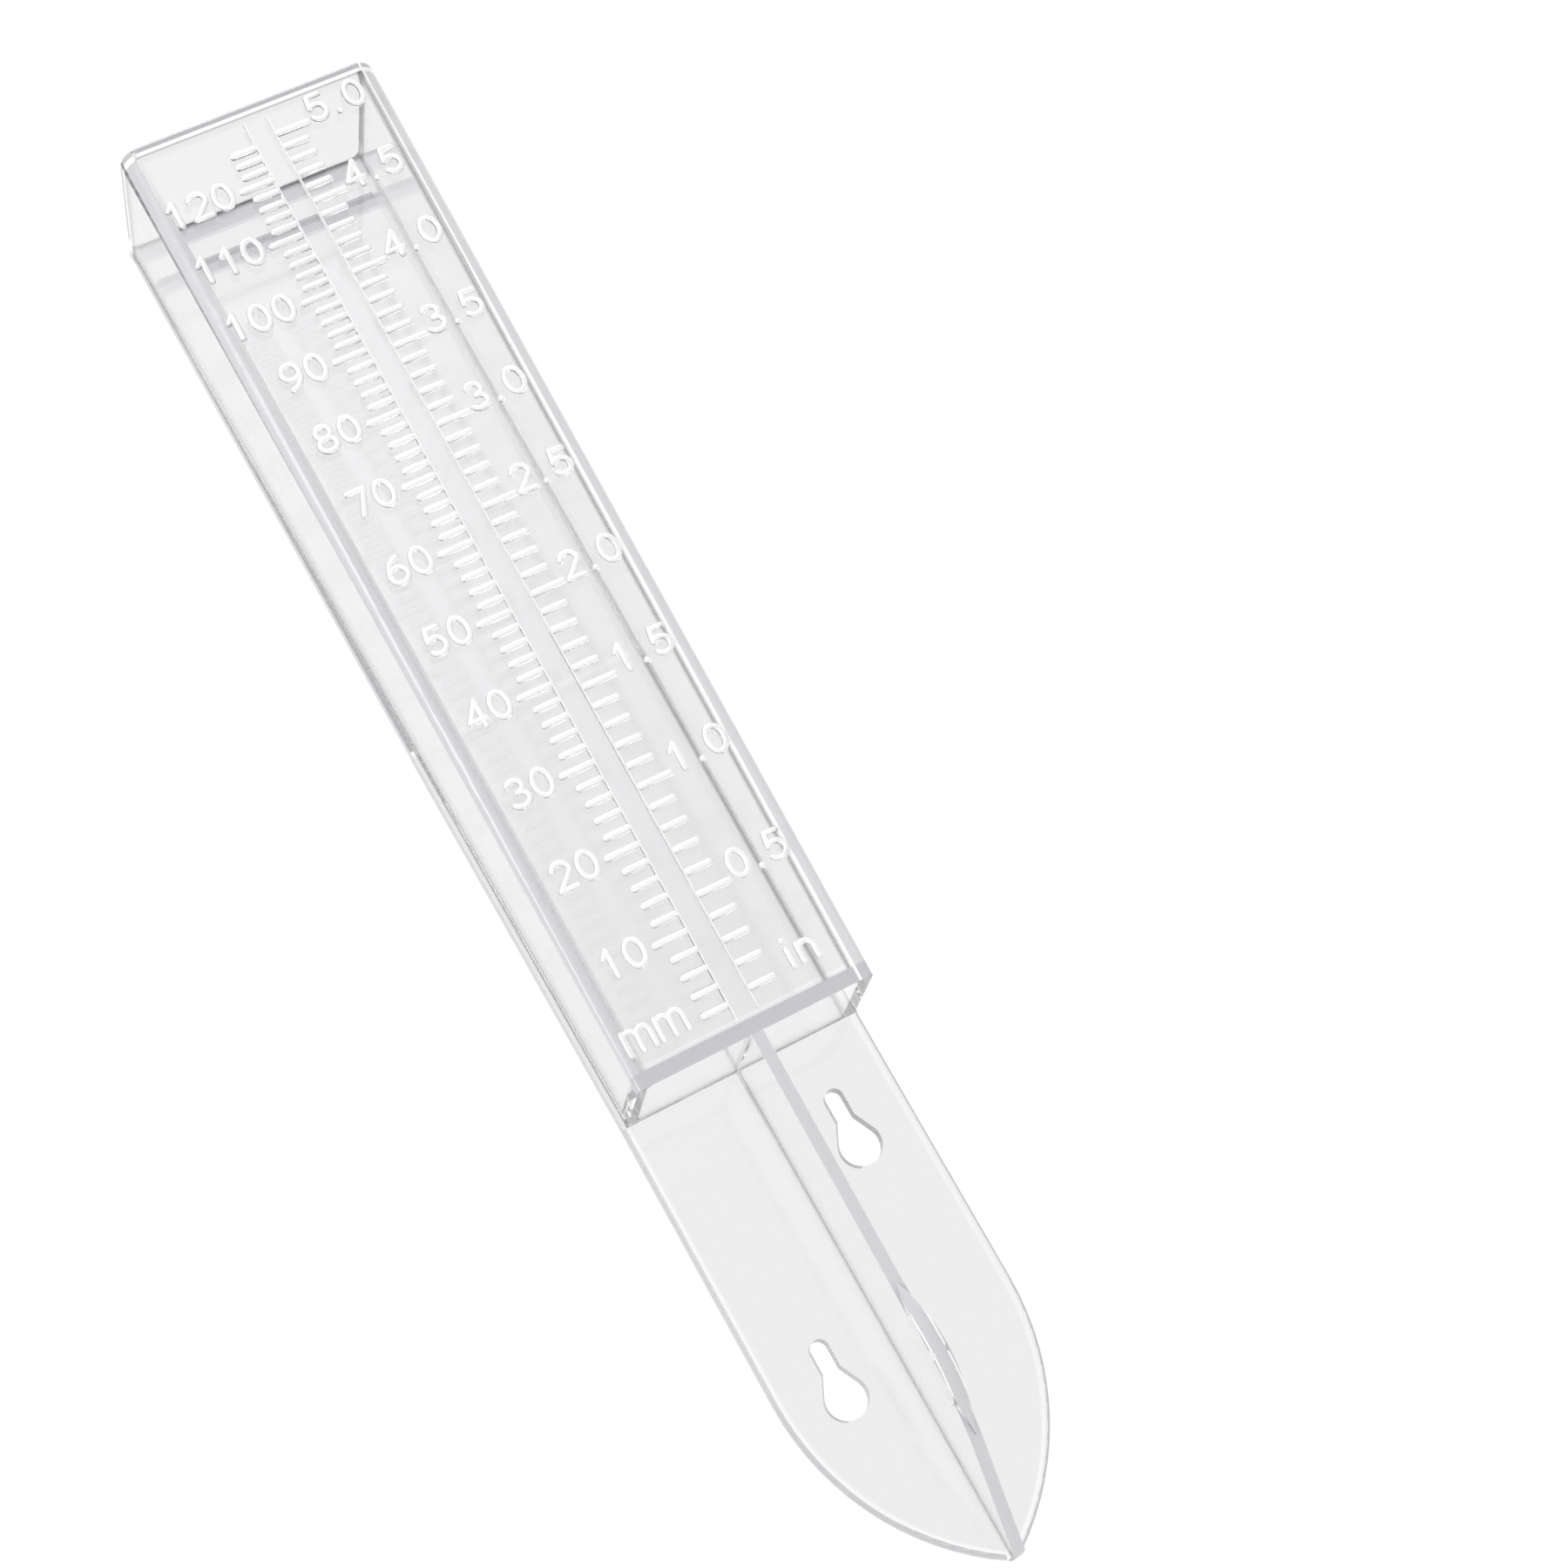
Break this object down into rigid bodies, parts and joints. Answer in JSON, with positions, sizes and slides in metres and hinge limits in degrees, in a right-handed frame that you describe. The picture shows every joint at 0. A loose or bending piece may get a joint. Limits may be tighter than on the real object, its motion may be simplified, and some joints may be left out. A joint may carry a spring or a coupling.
{
  "type": "rain gauge",
  "caption": "Clear moulded rain gauge: tapered open-topped tube with raised millimetre and inch scales, on a pointed stake blade with a stiffening fin and keyholes.",
  "frame": {"origin": "middle of the flat back, level with the underside of the tube where the blade begins", "axes": "+Z along the tube towards its open mouth, +Y out of the flat back, the scale faces -Y"},
  "size_m": [0.0436, 0.0306, 0.2518],
  "materials": {
    "clear_plastic": "clear, polished"
  },
  "bodies": {
    "root": {"gauge_body": "clear_plastic"}
  },
  "joints": []
}
